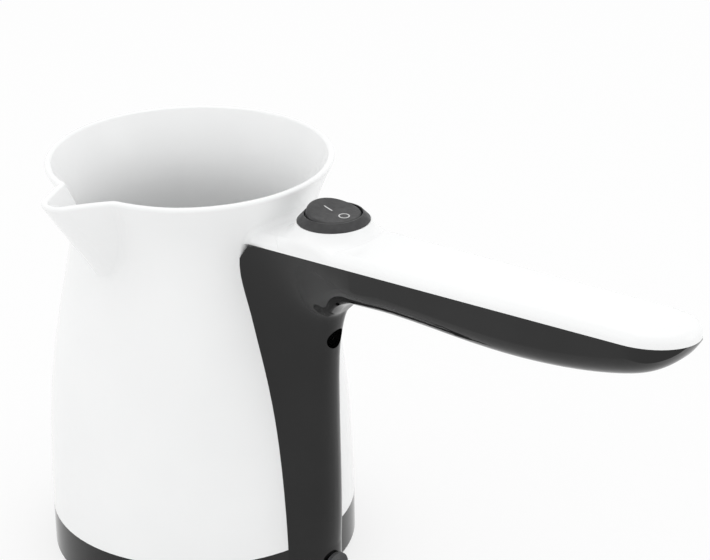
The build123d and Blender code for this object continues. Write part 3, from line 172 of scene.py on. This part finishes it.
bpy.ops.object.select_all(action="DESELECT")
bpy.ops.mesh.primitive_grid_add(
    x_subdivisions=12, y_subdivisions=3, size=1.0, location=(bar_place, 0.0, mark_start)
)
bar = bpy.context.object
bar.name = "mark_on"
bpy.ops.object.mode_set(mode="EDIT")
bpy.ops.mesh.select_all(action="SELECT")
bpy.ops.transform.resize(value=(bar_length, bar_width, 1.0))
bpy.ops.object.mode_set(mode="OBJECT")
print_on_rocker(bar)

# ---------------------------------------------------------------- mark_off
# The O: a flat ring that lies near the sunken end of the rocker, on the side
# of the grip.
ring_place = 0.0669
ring_radius = 0.0018
ring_inner_share = 0.76

bpy.ops.object.select_all(action="DESELECT")
bpy.ops.mesh.primitive_circle_add(
    vertices=64, radius=ring_radius, fill_type="NOTHING", location=(ring_place, 0.0, mark_start)
)
ring = bpy.context.object
ring.name = "mark_off"
bpy.ops.object.mode_set(mode="EDIT")
bpy.ops.mesh.select_all(action="SELECT")
bpy.ops.mesh.extrude_edges_move()
bpy.ops.transform.resize(value=(ring_inner_share, ring_inner_share, 1.0))
bpy.ops.mesh.select_all(action="SELECT")
bpy.ops.mesh.normals_make_consistent(inside=False)
bpy.ops.object.mode_set(mode="OBJECT")
print_on_rocker(ring)

# ---------------------------------------------------------------- metal parts
# Stainless plate and hardware, aluminium heat parts and brass contacts.
for metal, color_grain, roughness_grain, dark, light, smooth, rough, metal_nodes in (
    (
        "steel",
        (120.0, 4.0),
        (400.0, 2.0),
        (0.52, 0.52, 0.52),
        (0.62, 0.62, 0.62),
        0.24,
        0.38,
        [
            "base_screws",
            "clamp_screws",
            "spine_screw",
            "heating_plate",
            "heating_element",
            "element_pins",
            "clamp_ring",
            "thermostat_bracket",
            "heat_shield",
            "switch_spring",
        ],
    ),
    (
        "aluminium",
        (150.0, 3.0),
        (300.0, 2.0),
        (0.66, 0.66, 0.67),
        (0.76, 0.76, 0.77),
        0.38,
        0.5,
        ["heat_spreader", "thermostat", "thermal_fuse"],
    ),
    (
        "brass",
        (180.0, 3.0),
        (300.0, 2.0),
        (0.66, 0.5, 0.22),
        (0.76, 0.6, 0.3),
        0.28,
        0.4,
        [
            "thermostat_tabs",
            "terminal_screws",
            "switch_plunger",
            "contact_lever",
            "centre_terminal",
            "load_terminal",
        ],
    ),
):
    metal_finish = new_finish(metal)
    shader_inputs(metal_finish)["Metallic"].default_value = 1.0
    drifting_color(metal_finish, *color_grain, dark, light)
    drifting_roughness(metal_finish, *roughness_grain, smooth, rough)
    dress(metal_nodes, metal_finish)

# ---------------------------------------------------------------- rubber and terminal block
# Grey silicone pad, seal and bush; cream terminal block.
silicone = new_finish("silicone")
drifting_color(silicone, 200.0, 3.0, (0.05, 0.05, 0.052), (0.07, 0.07, 0.072))
drifting_roughness(silicone, 300.0, 2.0, 0.6, 0.75)
dress(["base_pad", "plate_seal", "cord_gland"], silicone)

block_plastic = new_finish("block_plastic")
drifting_color(block_plastic, 200.0, 3.0, (0.62, 0.6, 0.52), (0.7, 0.68, 0.6))
drifting_roughness(block_plastic, 300.0, 2.0, 0.45, 0.6)
dress(["terminal_block"], block_plastic)

# ---------------------------------------------------------------- wires
# Insulation of the inner wires: brown for live, blue for neutral and green
# for earth.
for insulation, dark, light, wire_nodes in (
    ("brown_insulation", (0.16, 0.06, 0.025), (0.2, 0.08, 0.035), ["live_wire", "switched_wire"]),
    ("blue_insulation", (0.02, 0.08, 0.4), (0.03, 0.1, 0.5), ["neutral_wire", "link_wire"]),
    ("green_insulation", (0.12, 0.4, 0.03), (0.2, 0.5, 0.05), ["earth_wire"]),
):
    wire_finish = new_finish(insulation)
    drifting_color(wire_finish, 250.0, 3.0, dark, light)
    drifting_roughness(wire_finish, 300.0, 2.0, 0.4, 0.5)
    dress(wire_nodes, wire_finish)


# ---------------------------------------------------------------- floor
# Plain white floor, which keeps the shadow and shows mostly as white to the
# camera and in mirror images.
def seen_directly(tree):
    """Output that is 1 for camera, mirror and see-through rays, and 0 for all other rays."""
    path = tree.nodes.new("ShaderNodeLightPath")
    seen = path.outputs["Is Camera Ray"]
    for ray in ("Is Glossy Ray", "Is Transmission Ray"):
        either = tree.nodes.new("ShaderNodeMath")
        either.operation = "MAXIMUM"
        tree.links.new(seen, either.inputs[0])
        tree.links.new(path.outputs[ray], either.inputs[1])
        seen = either.outputs[0]
    return seen


floor_size = 8.0
floor_glow_share = 0.75

bpy.ops.object.select_all(action="DESELECT")
bpy.ops.mesh.primitive_plane_add(size=floor_size, location=(0, 0, 0))
floor = bpy.context.object
floor.name = "floor"
floor_finish = new_finish("floor_white")
floor_tree = floor_finish.node_tree
shader_inputs(floor_finish)["Base Color"].default_value = (0.86, 0.86, 0.86, 1)
shader_inputs(floor_finish)["Roughness"].default_value = 0.9
shader_inputs(floor_finish)["Specular IOR Level"].default_value = 0.0
glow = floor_tree.nodes.new("ShaderNodeEmission")
glow.inputs["Color"].default_value = (1, 1, 1, 1)
glow.inputs["Strength"].default_value = 1.0
share = floor_tree.nodes.new("ShaderNodeMath")
share.operation = "MULTIPLY"
share.inputs[1].default_value = floor_glow_share
blend = floor_tree.nodes.new("ShaderNodeMixShader")
floor_tree.links.new(seen_directly(floor_tree), share.inputs[0])
floor_tree.links.new(share.outputs[0], blend.inputs[0])
floor_tree.links.new(floor_tree.nodes["Principled BSDF"].outputs[0], blend.inputs[1])
floor_tree.links.new(glow.outputs[0], blend.inputs[2])
floor_tree.links.new(blend.outputs[0], floor_tree.nodes["Material Output"].inputs["Surface"])
floor.data.materials.append(floor_finish)

# ---------------------------------------------------------------- world
# Even light from all sides, and a plain white backdrop.
world = bpy.data.worlds.new("studio")
bpy.context.scene.world = world
world.use_nodes = True
world_tree = world.node_tree
ambient = world_tree.nodes["Background"]
ambient.inputs["Color"].default_value = (1, 1, 1, 1)
ambient.inputs["Strength"].default_value = 1.0
backdrop = world_tree.nodes.new("ShaderNodeBackground")
backdrop.inputs["Color"].default_value = (1, 1, 1, 1)
backdrop.inputs["Strength"].default_value = 1.0
world_blend = world_tree.nodes.new("ShaderNodeMixShader")
world_tree.links.new(seen_directly(world_tree), world_blend.inputs[0])
world_tree.links.new(ambient.outputs[0], world_blend.inputs[1])
world_tree.links.new(backdrop.outputs[0], world_blend.inputs[2])
world_tree.links.new(world_blend.outputs[0], world_tree.nodes["World Output"].inputs["Surface"])

# ---------------------------------------------------------------- lamps
# One large soft lamp overhead and one at each side, all turned to the middle
# of the jug.
lamp_aim = Vector((0.05, 0, 0.1))
for name, place, width, height, watts in (
    ("overhead", (0.0, 0.1, 1.3), 1.2, 1.2, 2.0),
    ("left_wall", (-0.6, -1.1, 0.6), 0.9, 0.9, 0.8),
    ("right_wall", (1.2, 0.5, 0.5), 0.7, 0.9, 1.0),
):
    bpy.ops.object.select_all(action="DESELECT")
    bpy.ops.object.light_add(type="AREA", location=place)
    lamp = bpy.context.object
    lamp.name = name
    lamp.data.shape = "RECTANGLE"
    lamp.data.size = width
    lamp.data.size_y = height
    lamp.data.energy = watts
    lamp.rotation_euler = (Vector(place) - lamp_aim).to_track_quat("Z", "Y").to_euler()

# ---------------------------------------------------------------- camera
# Long lens that looks down on the jug from the side of the grip's end.
camera_place = (0.5453, -0.5268, 0.4324)
camera_turn = math.radians(42.0)
camera_lift = math.radians(24.07)
camera_roll = math.radians(-0.91)

camera_data = bpy.data.cameras.new("camera")
camera_data.sensor_width = 36.0
camera_data.lens = 127.08
camera_data.clip_end = 50.0
camera = bpy.data.objects.new("camera", camera_data)
bpy.context.collection.objects.link(camera)
back = Vector(
    (
        math.sin(camera_turn) * math.cos(camera_lift),
        -math.cos(camera_turn) * math.cos(camera_lift),
        math.sin(camera_lift),
    )
)
right = Vector((math.cos(camera_turn), math.sin(camera_turn), 0))
up = back.cross(right)
rolled_right = right * math.cos(camera_roll) + up * math.sin(camera_roll)
rolled_up = up * math.cos(camera_roll) - right * math.sin(camera_roll)
basis = Matrix((rolled_right, rolled_up, back)).transposed().to_4x4()
camera.matrix_world = Matrix.Translation(camera_place) @ basis
bpy.context.scene.camera = camera
bpy.context.scene.view_settings.view_transform = "Standard"
